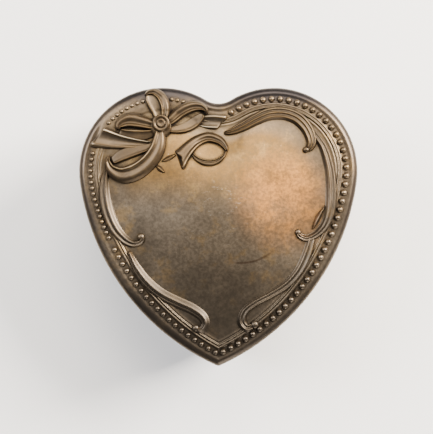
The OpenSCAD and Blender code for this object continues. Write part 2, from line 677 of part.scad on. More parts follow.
coil_turns = 6;
coil_steps = 12;
module stop_spring() color("steelblue") translate([rod_x, rod_y, guide_top + spring_wire]) {
    n = coil_turns * coil_steps;
    rise = finger_z - guide_top - 2 * spring_wire;
    rings = [for (i = [0:n]) let (a = 360 * i / coil_steps) [for (k = [0:5])
        let (r = rod_r + 0.5 + spring_wire * cos(60 * k)) [r * cos(a), r * sin(a), rise * i / n + spring_wire * sin(60 * k)]]];
    polyhedron(flat(rings), concat([[0, 1, 2, 3, 4, 5]],
        [for (i = [0:n - 1], j = [0:5]) let (a = 6 * i + j, b = 6 * i + (j + 1) % 6)
            each [[a, a + 6, b + 6], [a, b + 6, b]]],
        [[6 * n + 5, 6 * n + 4, 6 * n + 3, 6 * n + 2, 6 * n + 1, 6 * n]]));
}

// ---- what is drawn -------------------------------------------------------------------------
base_shell();
pillars();
bottom_cover();
bottom_felt();
cover_screws();
tray();
tray_floor_velvet();
tray_wall_velvet();
hinge_base_leaf(-1);  // hinge_base_leaf_left
hinge_base_leaf(1);  // hinge_base_leaf_right
hinge_pin(-1);  // hinge_pin_left
hinge_pin(1);  // hinge_pin_right
lid_shell();
lid_board();
lid_pad();
hinge_lid_leaf(-1);  // hinge_lid_leaf_left
hinge_lid_leaf(1);  // hinge_lid_leaf_right
bedplate();
movement_screws();
spring_barrel();
barrel_cap();
barrel_screws();
mainspring();
winding_arbor();
winding_key();
great_wheel();
clutch_spring();
cylinder_post();
cylinder_tube();
cylinder_heads();
cylinder_pins();
cylinder_arbor();
cylinder_pinion();
cylinder_wheel();
inner_plate();
outer_plate();
governor_arbor();
governor_pinion();
worm_wheel();
governor_cock();
worm();
fly();
comb();
comb_screws();
comb_weights();
rod_guide();
stop_rod();
brake_finger();
stop_spring();
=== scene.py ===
import math
import bpy
import bmesh
from mathutils import Matrix, Vector, noise
from mathutils.bvhtree import BVHTree


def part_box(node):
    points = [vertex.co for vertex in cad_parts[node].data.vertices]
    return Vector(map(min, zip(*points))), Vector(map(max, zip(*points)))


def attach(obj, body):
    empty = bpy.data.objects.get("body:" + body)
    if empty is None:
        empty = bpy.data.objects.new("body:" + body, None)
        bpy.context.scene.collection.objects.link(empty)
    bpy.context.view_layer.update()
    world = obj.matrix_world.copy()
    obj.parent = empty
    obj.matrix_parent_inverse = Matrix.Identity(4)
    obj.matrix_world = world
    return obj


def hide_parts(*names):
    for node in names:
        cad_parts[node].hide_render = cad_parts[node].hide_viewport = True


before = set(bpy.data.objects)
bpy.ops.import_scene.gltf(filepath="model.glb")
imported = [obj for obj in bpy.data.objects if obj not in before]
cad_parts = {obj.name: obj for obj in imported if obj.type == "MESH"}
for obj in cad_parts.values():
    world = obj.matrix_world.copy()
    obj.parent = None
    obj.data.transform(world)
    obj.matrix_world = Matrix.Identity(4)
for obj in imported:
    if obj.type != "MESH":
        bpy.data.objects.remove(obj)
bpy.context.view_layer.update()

# ---- Floor, lights and camera ---------------------------------------------------------------
# The box stands on a plain pale floor. Soft lights stand to its right, behind and above it, to its
# left and low in front, and the camera looks straight down on the lid.

MM = 0.001
floor_mesh = bmesh.new()
bmesh.ops.create_grid(floor_mesh, x_segments=1, y_segments=1, size=3)
floor = bpy.data.objects.new("floor", bpy.data.meshes.new("floor"))
floor_mesh.to_mesh(floor.data)
floor_mesh.free()
bpy.context.collection.objects.link(floor)
floor_paint = bpy.data.materials.new("floor_paint")
floor_paint.use_nodes = True
floor_surface = floor_paint.node_tree.nodes["Principled BSDF"]
floor_surface.inputs["Base Color"].default_value = (0.93, 0.93, 0.93, 1)
floor_surface.inputs["Roughness"].default_value = 0.8
floor.data.materials.append(floor_paint)


def soft_light(name, place, aim, width, watts, colour):
    lamp = bpy.data.lights.new(name, "AREA")
    lamp.shape = "SQUARE"
    lamp.size = width
    lamp.energy = watts
    lamp.color = colour
    holder = bpy.data.objects.new(name, lamp)
    holder.location = place
    holder.rotation_euler = (Vector(aim) - Vector(place)).to_track_quat("-Z", "Y").to_euler()
    bpy.context.collection.objects.link(holder)


lid_middle = (0, 0, 0.04)
soft_light("key_light", (0.68, 0.38, 0.6), lid_middle, 0.4, 40, (1, 0.92, 0.82))
soft_light("top_light", (0.1, 0.8, 1.15), lid_middle, 0.9, 30, (1, 0.91, 0.78))
soft_light("left_light", (-0.75, 0.3, 0.75), lid_middle, 0.5, 14, (0.97, 0.97, 1))
soft_light("front_light", (0.25, -1.1, 0.2), (0, 0, 0.03), 0.6, 9, (1, 0.95, 0.9))

sky = bpy.data.worlds.new("sky")
bpy.context.scene.world = sky
sky.use_nodes = True
sky_glow = sky.node_tree.nodes["Background"]
sky_glow.inputs["Color"].default_value = (0.9, 0.92, 0.95, 1)
sky_glow.inputs["Strength"].default_value = 0.14

camera = bpy.data.objects.new("camera", bpy.data.cameras.new("camera"))
camera.data.sensor_fit = "HORIZONTAL"
camera.data.sensor_width = 36
above_lid, seen_width = 500, 155.5
camera.data.lens = camera.data.sensor_width * above_lid / seen_width
camera.location = (-0.65 * MM, 3.52 * MM, 0.5464)
bpy.context.collection.objects.link(camera)
bpy.context.scene.camera = camera

# ---- Lid casting ----------------------------------------------------------------------------
# The lid is one hollow casting of plated metal, with a rolled outer lip, a hollow channel for
# the beads, a fine raised line and a pillowed heart. Age has browned it and rubbed its high parts.

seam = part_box("lid_shell")[0].z / MM
lobe_r, lobe_x = 30, 20
flank_r, flank_turn = 85, 8
cleft_r, tip_r = 8.5, 2


def heart_plan():
    """The arcs' centres and angles: lobe y, flank centre, cleft y, cleft angle."""
    turn = math.radians(flank_turn)
    fx = lobe_x - (flank_r - lobe_r) * math.cos(turn)
    over = (flank_r - lobe_r) * math.sin(turn)
    drop = math.sqrt((flank_r - tip_r) ** 2 - fx ** 2) + tip_r - over
    ly = (lobe_r + drop) / 2 - lobe_r
    cy = ly + math.sqrt((lobe_r + cleft_r) ** 2 - lobe_x ** 2)
    return ly, fx, ly + over, cy, math.degrees(math.atan2(ly - cy, lobe_x))


lobe_y, flank_x, flank_y, cleft_y, cleft_turn = heart_plan()


def heart(inset, fine=1.0):
    """Points round the heart, inset from its outline: from the cleft by the right side and back."""
    def arc(x, y, r, a, b, n, last=0):
        n = max(2, round(n * fine))
        turns = [math.radians(a + (b - a) * i / n) for i in range(n + last)]
        return [(x + r * math.cos(t), y + r * math.sin(t)) for t in turns]
    tr = max(tip_r - inset, 0.3)
    ty = flank_y - math.sqrt((flank_r - inset - tr) ** 2 - flank_x ** 2)
    t = math.degrees(math.atan2(ty - flank_y, -flank_x))
    half = (arc(0, cleft_y, cleft_r + inset, -90, cleft_turn, 14)
            + arc(lobe_x, lobe_y, lobe_r - inset, cleft_turn + 180, -flank_turn, 74)
            + arc(flank_x, flank_y, flank_r - inset, -flank_turn, t, 66)
            + arc(0, ty, tr, t, -90, 6, 1))
    return half + [(-x, y) for x, y in reversed(half[1:-1])]


def loft(loops, start_cap=True, end_cap=True):
    """Extrudes a ring of edges from one loop of points, in mm, to the next."""
    bm = bmesh.new()
    bm.verts.layers.float.new("rub")
    n = len(loops[0])
    ring = bmesh.ops.create_circle(bm, segments=n, radius=1)["verts"]
    rings = [ring]
    for v, p in zip(ring, loops[0]):
        v.co = Vector(p) * MM
    if start_cap:
        bmesh.ops.contextual_create(bm, geom=[bm.edges.get((ring[i], ring[i - 1])) for i in range(n)])
    for loop in loops[1:]:
        edges = [bm.edges.get((ring[i], ring[(i + 1) % n])) for i in range(n)]
        made = {g for g in bmesh.ops.extrude_edge_only(bm, edges=edges)["geom"]
                if isinstance(g, bmesh.types.BMVert)}
        ring = [next(w for w in (e.other_vert(v) for e in v.link_edges) if w in made) for v in ring]
        for v, p in zip(ring, loop):
            v.co = Vector(p) * MM
        rings.append(ring)
    if end_cap:
        edges = [bm.edges.get((ring[i], ring[(i + 1) % n])) for i in range(n)]
        face = bmesh.ops.contextual_create(bm, geom=edges)["faces"]
        if end_cap == "pole":
            bmesh.ops.poke(bm, faces=face)
    return bm, rings


def piece(name, bm, body, finish, stands_for=()):
    """Makes a finished mesh a named piece that rides on a body."""
    bmesh.ops.recalc_face_normals(bm, faces=bm.faces)
    mesh = bpy.data.meshes.new(name)
    bm.to_mesh(mesh)
    bm.free()
    mesh.shade_smooth()
    mesh.materials.append(finish)
    made = bpy.data.objects.new(name, mesh)
    bpy.context.collection.objects.link(made)
    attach(made, body)
    if stands_for:
        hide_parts(*stands_for)
    return made


class Socket:
    """A shader socket that can be used in sums."""

    def __init__(self, finish, out):
        self.finish, self.out = finish, out

    def sum(self, kind, a, b):
        return self.finish.node("ShaderNodeMath", {"operation": kind}, {0: a, 1: b})

    def __add__(self, other):
        return self.sum("ADD", self, other)

    def __sub__(self, other):
        return self.sum("SUBTRACT", self, other)

    def __mul__(self, other):
        return self.sum("MULTIPLY", self, other)

    def __rsub__(self, other):
        return self.sum("SUBTRACT", other, self)

    __radd__ = __add__
    __rmul__ = __mul__


class Finish:
    """A material under construction: its constant values, then its nodes."""

    def __init__(self, name, **constant):
        self.material = bpy.data.materials.new(name)
        self.material.use_nodes = True
        self.tree = self.material.node_tree
        self.surface = self.tree.nodes["Principled BSDF"]
        for key, value in constant.items():
            socket = self.surface.inputs[key.replace("_", " ").title().replace("Ior", "IOR")]
            socket.default_value = value
        self.place = self.node("ShaderNodeTexCoord", {}, {}, "Object")

    def node(self, kind, settings, inputs, out=0):
        made = self.tree.nodes.new(kind)
        for key, value in settings.items():
            if key == "stops":
                ramp = made.color_ramp
                while len(ramp.elements) < len(value):
                    ramp.elements.new(0.5)
                for element, (at, colour) in zip(ramp.elements, value):
                    element.position = at
                    element.color = (*colour, 1) if len(colour) == 3 else colour
            else:
                setattr(made, key, value)
        for key, value in inputs.items():
            if isinstance(value, Socket):
                self.tree.links.new(value.out, made.inputs[key])
            elif isinstance(value, tuple) and len(value) == 3 and made.inputs[key].type == "RGBA":
                made.inputs[key].default_value = (*value, 1)
            else:
                made.inputs[key].default_value = value
        return Socket(self, made.outputs[out])

    def noise(self, scale, detail=3, roughness=0.55, stretch=None):
        place = self.place
        if stretch:
            place = self.node("ShaderNodeMapping", {}, {"Vector": place, "Scale": stretch})
        return self.node("ShaderNodeTexNoise", {}, {"Vector": place, "Scale": scale, "Detail": detail,
                                                    "Roughness": roughness})

    def band(self, value, low, high, start=0.0, end=1.0):
        return self.node("ShaderNodeMapRange", {"interpolation_type": "SMOOTHSTEP"},
                         {"Value": value, "From Min": low, "From Max": high,
                          "To Min": start, "To Max": end})

    def mix(self, share, a, b):
        return self.node("ShaderNodeMix", {"data_type": "RGBA"}, {0: share, 6: a, 7: b}, 2)

    def bump(self, height, strength, distance, under=None):
        inputs = {"Height": height, "Strength": strength, "Distance": distance}
        if under:
            inputs["Normal"] = under
        return self.node("ShaderNodeBump", {}, inputs)

    def done(self, **links):
        for key, value in links.items():
            self.tree.links.new(value.out, self.surface.inputs[key.replace("_", " ").title()])
        return self.material


def aged_plate(name, matt=0.27, rub=1.0, stain=0.0):
    """Old plate over brass: brown tarnish, gold showing through, pale rubbed edges, dark hollows."""
    f = Finish(name, metallic=0.92, specular_tint=(1, 0.93, 0.82, 1))

    def coordinate(axis):
        return f.node("ShaderNodeSeparateXYZ", {}, {"Vector": f.place}, axis)

    def hollow(reach):
        return 1 - f.node("ShaderNodeAmbientOcclusion", {"samples": 6}, {"Distance": reach}, "AO")

    def from_spot(x, y):
        return f.node("ShaderNodeVectorMath", {"operation": "DISTANCE"}, {0: flat, 1: (x, y, 0)}, 1)

    clouds = f.noise(42, 5, 0.62)
    blotch = f.noise(150, 4, 0.6)
    grain = f.noise(900, 4, 0.65)
    speckle = f.noise(1500, 2, 0.6)
    near, wide = hollow(0.0019), hollow(0.006)
    edge = f.node("ShaderNodeAttribute", {"attribute_name": "rub"}, {}, "Fac")
    flat = f.node("ShaderNodeVectorMath", {"operation": "MULTIPLY"}, {0: f.place, 1: (1, 1, 0)})
    across, along, height = coordinate("X"), coordinate("Y"), coordinate("Z")

    # Tarnish, with gold in its thin places, and a painted orange reflection on the dome's right side.
    brown = f.mix(f.band(clouds, 0.36, 0.64), (0.128, 0.1, 0.071), (0.215, 0.168, 0.118))
    bronze = f.mix(f.band(clouds, 0.36, 0.64), (0.108, 0.061, 0.019), (0.176, 0.1, 0.034))
    upper = f.band(along, 0.004, 0.02) * f.band(height, 0.0494, 0.0506, 0.25, 1)
    tarnish = f.mix(upper, brown, bronze)
    gold = f.mix(f.band(blotch, 0.5, 0.68) * 0.5, tarnish, (0.27, 0.17, 0.065))
    patchy = 0.45 + 0.55 * f.band(blotch + 0.5 * grain, 0.5, 1.0)
    # Painted reflection: an orange patch standing in for the key light's reflection on the dome's upper
    # right.
    painted_reflection_mask = f.band(from_spot(0.023, 0.009), 0.022, 0.006) * patchy * (0.9 - stain)
    orange_painted_reflection = f.mix(painted_reflection_mask, gold, (0.5, 0.215, 0.05))

    # Freckles everywhere, fine scuffs near the middle, and painted shade that darkens the lower half.
    freckled = f.mix(f.band(speckle, 0.66, 0.76) * f.band(clouds, 0.45, 0.6) * 0.4,
                     orange_painted_reflection, (0.5, 0.42, 0.3))
    scratches = f.band(f.noise(430, 7, 0.75, (1, 2.4, 1)), 0.57, 0.64)
    scuff = scratches * f.band(from_spot(0.001, 0.004), 0.015, 0.004) * f.band(blotch, 0.4, 0.55)
    scuffed = f.mix(scuff * 0.55, freckled, (0.55, 0.49, 0.4))
    grainy = f.mix(f.band(grain, 0.62, 0.38) * 0.35, scuffed, (0.06, 0.047, 0.032))
    # Painted shade: the lower half is darkened toward the tip.
    low = f.band(along + 0.03 * clouds, 0.01, -0.017)
    shaded = f.mix(low * 0.82, grainy, (0.052, 0.043, 0.034))

    # Gold and dirt in the hollows, and pale metal on the edges that hands rub.
    settled = f.mix(f.band(wide, 0.16, 0.45) * (0.55 - 0.4 * low), shaded, (0.27, 0.185, 0.08))
    stained = f.mix(f.band(edge, 0.35, 0.0) * stain, settled, (0.062, 0.05, 0.038))
    worn = f.mix(f.band(edge, 0.2, 0.9) * rub * (0.5 + 0.7 * blotch), stained, (0.68, 0.58, 0.42))
    dirty = f.mix(f.band(near, 0.1, 0.5), worn, (0.016, 0.012, 0.009))

    # Painted shade darkens the outer lip, most of all over the lobes, and bluish at the far edge.
    over_seam = f.band(height, 0.0398, 0.0402)
    lip_painted_shade = f.band(height, 0.0489, 0.0481) * over_seam * f.band(along, -0.034, 0.012, 0.3, 0.85)
    lip_under_painted_shade = f.mix(lip_painted_shade, dirty, (0.04, 0.032, 0.028))
    # Painted shade, bluish and darker still, along the lip's far edge.
    far_edge_painted_shade = f.band(along, 0.04, 0.0475) * f.band(height, 0.0495, 0.0488) * over_seam
    back_under_painted_shade = f.mix(far_edge_painted_shade * 0.9, lip_under_painted_shade, (0.024, 0.022, 0.025))

    # One curved scratch crosses the dome below its middle.
    off = f.node("ShaderNodeMath", {"operation": "ABSOLUTE"}, {0: from_spot(0.0079, 0.0052) - 0.018})
    reach = f.band(across, 0.003, 0.009) * f.band(across, 0.021, 0.016)
    scratch = f.band(off, 0.0006, 0.0001) * reach * f.band(along, -0.007, -0.009)
    bruised = f.mix(scratch * 0.6, back_under_painted_shade, (0.05, 0.025, 0.014))
    rough = matt + 0.12 * blotch + 0.1 * grain + f.band(near, 0.2, 0.8) * 0.3
    normal = f.bump(scratch, -0.8, 0.0002, f.bump(grain, 0.14, 0.00012))
    return f.done(base_color=bruised, roughness=rough, normal=normal)


plate_finish = aged_plate("aged_plate")
relief_finish = aged_plate("aged_relief", 0.3, 0.65, 0.65)


def smooth_step(low, high, value):
    t = min(1, max(0, (value - low) / (high - low)))
    return t * t * (3 - 2 * t)


def reading(table, at):
    """The height at a distance, read from a short table of pairs."""
    for (a, p), (b, q) in zip(table, table[1:]):
        if at <= b:
            return p + (q - p) * (at - a) / (b - a)
    return table[-1][1]


# The border's section, as pairs of inset and height over the seam.
lid_skirt, shoulder_z, lid_outside, inside = 3.5, 6.4, 3.0, 4.4
lip = [(0, 6.4), (0.12, 6.95), (0.4, 7.5), (0.8, 7.95), (1.3, 8.3), (2, 8.62), (2.8, 8.82), (4.3, 9),
       (6, 9.1), (8, 9.15), (8.8, 9.05), (9.5, 8.8), (10, 8.6)]
panel_edge, panel_rise, panel_middle, panel_round = 10.0, 6.4, (0, 6), 35
bow_at, bow_reach = (-24, 34), 17
line_at, line_high, channel_deep, groove_deep = 7.1, 0.34, 0.34, 0.14


def chasing(inset, x, y):
    """What the bead channel and the fine raised line add to the plain border, clear of the bow."""
    channel = smooth_step(1.8, 3.2, inset) * (1 - smooth_step(5.35, 5.95, inset))
    line = math.exp(-((inset - line_at) / 0.24) ** 2)
    groove = math.exp(-((inset - 7.7) / 0.2) ** 2) + math.exp(-((inset - 6.5) / 0.2) ** 2)
    clear = smooth_step(bow_reach, bow_reach + 3, math.dist((x, y), bow_at))
    return (line_high * line - channel_deep * channel - groove_deep * groove) * clear


def struck(inset, fine=1.0):
    """The heart at an inset, with the pattern a little to one side of the outline."""
    out = []
    for x, y in heart(inset, fine):
        low = 0.9 * smooth_step(8, -22, x) * smooth_step(16, -12, y)
        share = smooth_step(0, 2.5, inset)
        out.append((x + 0.8 * low * share, y + 0.6 * low * share))
    return out


skirt_loops = [(inside, 7.2), (inside, 3), (inside, 0.15), (inside - 0.15, 0), (lid_outside + 0.15, 0),
               (lid_outside, 0.15), (lid_outside, 1.6), (lid_outside, lid_skirt)]
cove = [(lid_outside * (1 - math.cos(a)), shoulder_z - (shoulder_z - lid_skirt) * math.sin(a))
        for a in [math.radians(90 - 90 * i / 9) for i in range(1, 9)]]
lip_insets = [0.04, 0.08, 0.15, 0.3, 0.5, 0.75, 1.05, 1.4, 1.8, 2.1, 2.4, 2.6, 2.85, 3.1, 3.4,
              4, 4.6, 5.15, 5.4, 5.55, 5.7, 5.9, 6.15, 6.3, 6.45, 6.6, 6.75, 6.87, 6.99, line_at,
              7.21, 7.33, 7.45, 7.6, 7.75, 7.9, 8.1, 8.4, 8.7, 9, 9.35, 9.7]
border = skirt_loops + cove + [(d, reading(lip, d)) for d in lip_insets]
loops = [[(x, y, seam + z) for x, y in struck(d)] for d, z in border]
dome_rings, even_passes, ripple = 54, 160, 0.12
for i in range(dome_rings):
    s = 1 - i / dome_rings
    z = seam + reading(lip, panel_edge) + panel_rise * (1 - s * s) ** 1.3
    loop = []
    for x, y in struck(panel_edge):
        out = Vector((x - panel_middle[0], y - panel_middle[1]))
        reach = out.length + (panel_round - out.length) * smooth_step(0, 0.9, 1 - s)
        loop.append((*(Vector(panel_middle) + out.normalized() * reach * s), z))
    loops.append(loop)
lid_mesh, rings = loft(loops, True, "pole")
soft = [v for ring in rings[len(border) - 3:] for v in ring]
for turn in range(even_passes):
    bmesh.ops.smooth_vert(lid_mesh, verts=soft, factor=0.5, use_axis_x=False, use_axis_y=False,
                          use_axis_z=True)
lid_surface = BVHTree.FromBMesh(lid_mesh)


def bed(x, y, least=0.0):
    """Height in mm of the lid's plain surface at a point, before it was chased."""
    hit = lid_surface.ray_cast(Vector((x, y, 90)) * MM, Vector((0, 0, -1)))[0]
    return max(hit.z / MM if hit else seam + shoulder_z, seam + least)


rub = lid_mesh.verts.layers.float["rub"]
for ring, (d, z) in zip(rings, border):
    if z > shoulder_z - 0.01 and d < inside - 0.1 or d > inside + 0.1:
        for v in ring:
            up = chasing(d, v.co.x / MM, v.co.y / MM)
            v[rub] = 0.35 * smooth_step(0.1, 0.3, up)
            v.co.z += up * MM
for ring in rings[len(border):]:
    for v in ring:
        v.co.z += ripple * MM * noise.noise(v.co * 80)
piece("lid_casting", lid_mesh, "lid", plate_finish, ["lid_shell"])

# ---- Scrolls and bow on the lid ---------------------------------------------------------------
# Ribbons cast in one with the lid: long scrolls that frame the heart and a bow tied with a round
# knot over the left lobe. Each is a strip with rolled edges that follows the lid's surface.


def through(points, count):
    """Evenly spaced points on a smooth curve through a few, and the curve's length."""
    fine = []
    ends = [points[0]] + list(points) + [points[-1]]
    for a, b, c, d in zip(ends, ends[1:], ends[2:], ends[3:]):
        for i in range(16):
            t = i / 16
            fine.append(tuple(
                0.5 * (2 * q + (r - p) * t + (2 * p - 5 * q + 4 * r - s) * t * t
                       + (3 * q - p - 3 * r + s) * t ** 3) for p, q, r, s in zip(a, b, c, d)))
    fine.append(tuple(points[-1]))
    run = [0]
    for a, b in zip(fine, fine[1:]):
        run.append(run[-1] + math.hypot(b[0] - a[0], b[1] - a[1]))
    out, k = [], 0
    for i in range(count):
        want = run[-1] * i / (count - 1)
        while k < len(run) - 2 and run[k + 1] < want:
            k += 1
        t = (want - run[k]) / max(run[k + 1] - run[k], 1e-9)
        out.append(tuple(p + (q - p) * t for p, q in zip(fine[k], fine[k + 1])))
    return out, run[-1]


strips = []
end_round, slant_reach, full_width = 0.7, 6, 1.6


def strip(spine, section, lift=0.0, least=0.0, depth=0.9, across=4, step=0.4,
          cuts=(None, None), notch=0.0):
    """A cast ribbon. Spine is (x, y, width) or (x, y, width, lift), section its heights across.

    An end is round, or cut off at a slant of so many millimetres, and the first can be notched.
    A vertex's rub says how far it stands over its neighbours across the ribbon."""
    spine = [p if len(p) == 4 else (*p, 0) for p in spine]
    length = through(spine, 9)[1]
    stations, length = through(spine, max(10, round(length / step)))
    strips.append(stations)
    m = (len(section) - 1) * across
    profile = [h for _, h in through([(i, h) for i, h in enumerate(section)], m + 1)[0]]
    high = [profile[j] - 0.5 * (profile[max(j - 3, 0)] + profile[min(j + 3, m)]) for j in range(m + 1)]
    loops = []
    for i, (x, y, w, up) in enumerate(stations):
        ax, ay = stations[max(i - 1, 0)][:2]
        bx, by = stations[min(i + 1, len(stations) - 1)][:2]
        along = Vector((bx - ax, by - ay)).normalized()
        side = Vector((along.y, -along.x))
        w = max(w, 0.12)
        tall = min(1, w / full_width) ** 0.5
        ways = ((i + 0.35) * step, (len(stations) - 0.65 - i) * step)
        end = math.sin(math.pi / 2 * min(1, ways[0] / end_round, ways[1] / end_round))
        nearer = 0 if ways[0] < ways[1] else 1
        wide = end if cuts[nearer] is None else 0.6 + 0.4 * end
        loop = []
        for j, h in enumerate(profile + [-depth, -depth]):
            u = 2 * j / m - 1 if j <= m else (1, -1)[j - m - 1]
            cut = (cuts[nearer] or 0) * u * max(0, 1 - ways[nearer] / slant_reach)
            if notch:
                cut += notch * (1 - abs(u)) * max(0, 1 - ways[0] / (2 * notch))
            px = x + side.x * u * w / 2 * wide + along.x * cut
            py = y + side.y * u * w / 2 * wide + along.y * cut
            ground = bed(px, py, least)
            if j <= m:
                level = 0.5 * (ground + bed(x, y, least))
                loop.append((px, py, level + (lift + up + h * tall) * end))
            else:
                loop.append((px, py, ground - depth))
        loops.append(loop)
    bm, rings = loft(loops)
    rub = bm.verts.layers.float["rub"]
    for ring in rings:
        for v, h in zip(ring, high):
            v[rub] = smooth_step(0.03, 0.3, h)
    return bm


def knob(bm, x, y, r, rise, squat=0.8):
    """A round end to a scroll."""
    place = Matrix.Translation(Vector((x, y, bed(x, y) + rise)) * MM) @ Matrix.Diagonal((1, 1, squat, 1))
    bmesh.ops.create_uvsphere(bm, u_segments=24, v_segments=14, radius=r * MM, matrix=place)


# Sections run from the side away from the panel, or from a loop's outer side, to the inner side.
walled = [0.0, 0.4, 0.72, 0.72, 0.62, 0.6, 0.82, 1.05, 1.08, 0.92, 0.62, 0.3, 0.08, 0.0]
sloped = [0.0, 0.3, 0.5, 0.5, 0.7, 1.0, 1.15, 1.1, 0.92, 0.68, 0.42, 0.18, 0.03]
lined = [0.0, 0.55, 0.75, 0.55, 0.45, 0.52, 0.82, 0.9, 0.6, 0.25, 0.0]
ribbed = [0.05, 0.55, 0.75, 0.55, 0.55, 0.88, 1.0, 0.78, 0.76, 1.08, 1.2, 1.0, 0.55, 0.1]
draped = [0.0, 0.35, 0.68, 0.88, 0.97, 0.97, 0.88, 0.76, 0.68, 0.7, 0.95, 1.2, 1.1, 0.35]
facing = [0.3, 0.7, 0.62, 0.44, 0.34, 0.28, 0.23, 0.18, 0.12, 0.05]
flag = [0.1, 0.8, 0.86, 0.64, 0.46, 0.38, 0.4, 0.52, 0.8, 1.0, 0.4]
crowned = [0.0, 0.4, 0.8, 1.0, 0.8, 0.4, 0.0]

scrolls = {
    "scroll_top_right": (
        [(2.0, 33.4, 1.2), (5.2, 34.2, 2.8), (9.2, 36.0, 3.8), (13.4, 38.3, 4.3), (18.2, 40.3, 4.7),
         (23.4, 40.5, 4.8), (28.1, 38.8, 4.8), (31.5, 35.3, 4.5), (33.2, 31.2, 3.9),
         (32.9, 28.8, 3.1), (31.8, 27.5, 2.2)], ribbed, 0.1),
    "scroll_right": (
        [(33.6, 34.0, 2.4, -0.6), (35.8, 31.0, 3.0, -0.1), (37.8, 27.3, 3.7), (39.6, 20.6, 4.2),
         (40.2, 13.2, 4.4), (39.8, 6.0, 4.3), (38.2, 1.0, 3.6), (35.4, -2.3, 2.9),
         (32.0, -4.0, 2.5), (29.5, -3.5, 2.2), (28.4, -2.1, 1.9)], walled, 0.0),
    "scroll_lower_right": (
        [(33.2, -2.6, 2.6, -0.6), (32.8, -5.8, 3.3, -0.1), (31.2, -10.8, 3.6), (28.6, -15.9, 3.4),
         (24.6, -20.4, 3.2), (19.0, -24.0, 3.0), (13.4, -26.9, 2.9), (9.5, -30.0, 2.9),
         (8.3, -33.6, 3.2), (9.9, -36.0, 3.1), (12.4, -35.6, 2.6)], lined, 0.1),
    "scroll_left": (
        [(-39.3, 21.6, 0.8), (-40.5, 16.8, 3.4), (-40.6, 11.4, 4.4), (-39.4, 5.3, 4.6),
         (-36.9, -0.4, 4.4), (-33.6, -4.2, 3.9), (-30.3, -5.9, 3.1), (-27.5, -5.0, 2.4),
         (-27.2, -3.1, 1.6)], walled[::-1], 0.0),
    "scroll_lower_left": (
        [(-31.9, -8.6, 1.2), (-29.5, -14.2, 3.2), (-25.6, -19.5, 3.9), (-20.5, -23.8, 4.0),
         (-14.9, -26.7, 4.0), (-9.4, -29.2, 3.9), (-5.8, -31.8, 3.6), (-4.6, -34.5, 3.2),
         (-5.9, -36.7, 2.9), (-7.8, -36.6, 2.5)], sloped[::-1], 0.1),
    "scroll_leaf": ([(38.0, 7.6, 0.3), (35.6, 3.2, 1.9), (33.7, -0.9, 0.3)], crowned, 0.2)}
for name, (spine, section, lift) in scrolls.items():
    piece(name, strip(spine, section, lift), "lid", relief_finish)
knobs = bmesh.new()
for x, y, r in ((31.3, 27.5, 1.15), (28.4, -1.9, 1.05), (13.0, -34.9, 1.4), (-27.6, -3.6, 1.3),
                (-8.1, -36.2, 1.25)):
    knob(knobs, x, y, r, 0.3, 0.7)
piece("scroll_ends", knobs, "lid", relief_finish)

